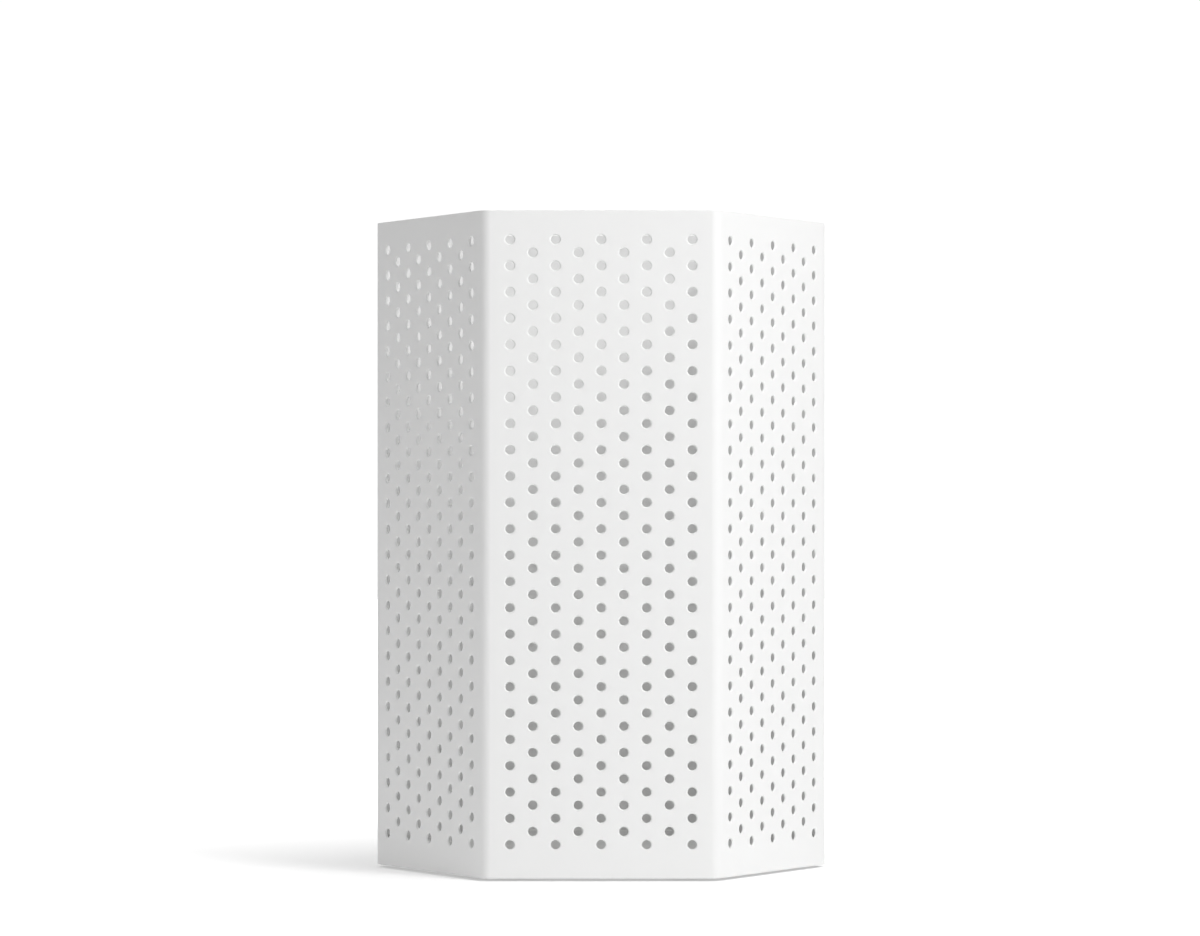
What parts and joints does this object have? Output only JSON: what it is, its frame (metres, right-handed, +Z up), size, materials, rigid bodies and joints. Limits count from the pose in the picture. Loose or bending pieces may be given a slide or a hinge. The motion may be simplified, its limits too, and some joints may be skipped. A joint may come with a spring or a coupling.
{
  "type": "umbrella stand",
  "caption": "Free-standing hexagonal umbrella stand in white powder-coated sheet aluminium, perforated at the front, open at the top, with a lift-out drip tray and rubber feet.",
  "frame": {"origin": "centre of the footprint, on the surface that the stand stands on", "axes": "+Z up along the body's axis; the front face looks along -Y and the rear face along +Y; +X and -X run through two corners of the hexagon"},
  "size_m": [0.347, 0.3032, 0.5],
  "materials": {
    "powder_coat": "fine satin powder coat, white",
    "tray_plastic": "moulded, slightly textured, white",
    "foot_rubber": "matt moulded rubber, grey",
    "plated_steel": "zinc plated"
  },
  "bodies": {
    "stand": {"front_shell": "powder_coat", "rear_shell": "powder_coat", "base_pan": "powder_coat", "foot_1": "foot_rubber", "foot_washer_1": "plated_steel", "foot_screw_1": "plated_steel", "foot_nut_1": "plated_steel", "foot_2": "foot_rubber", "foot_washer_2": "plated_steel", "foot_screw_2": "plated_steel", "foot_nut_2": "plated_steel", "foot_3": "foot_rubber", "foot_washer_3": "plated_steel", "foot_screw_3": "plated_steel", "foot_nut_3": "plated_steel", "foot_4": "foot_rubber", "foot_washer_4": "plated_steel", "foot_screw_4": "plated_steel", "foot_nut_4": "plated_steel", "foot_5": "foot_rubber", "foot_washer_5": "plated_steel", "foot_screw_5": "plated_steel", "foot_nut_5": "plated_steel", "foot_6": "foot_rubber", "foot_washer_6": "plated_steel", "foot_screw_6": "plated_steel", "foot_nut_6": "plated_steel"},
    "tray": {"drip_tray": "tray_plastic"}
  },
  "joints": [
    {"name": "tray_lift", "type": "slide", "parent": "stand", "child": "tray", "axis": [0, 0, 1], "range_m": [0, 0.52]}
  ]
}
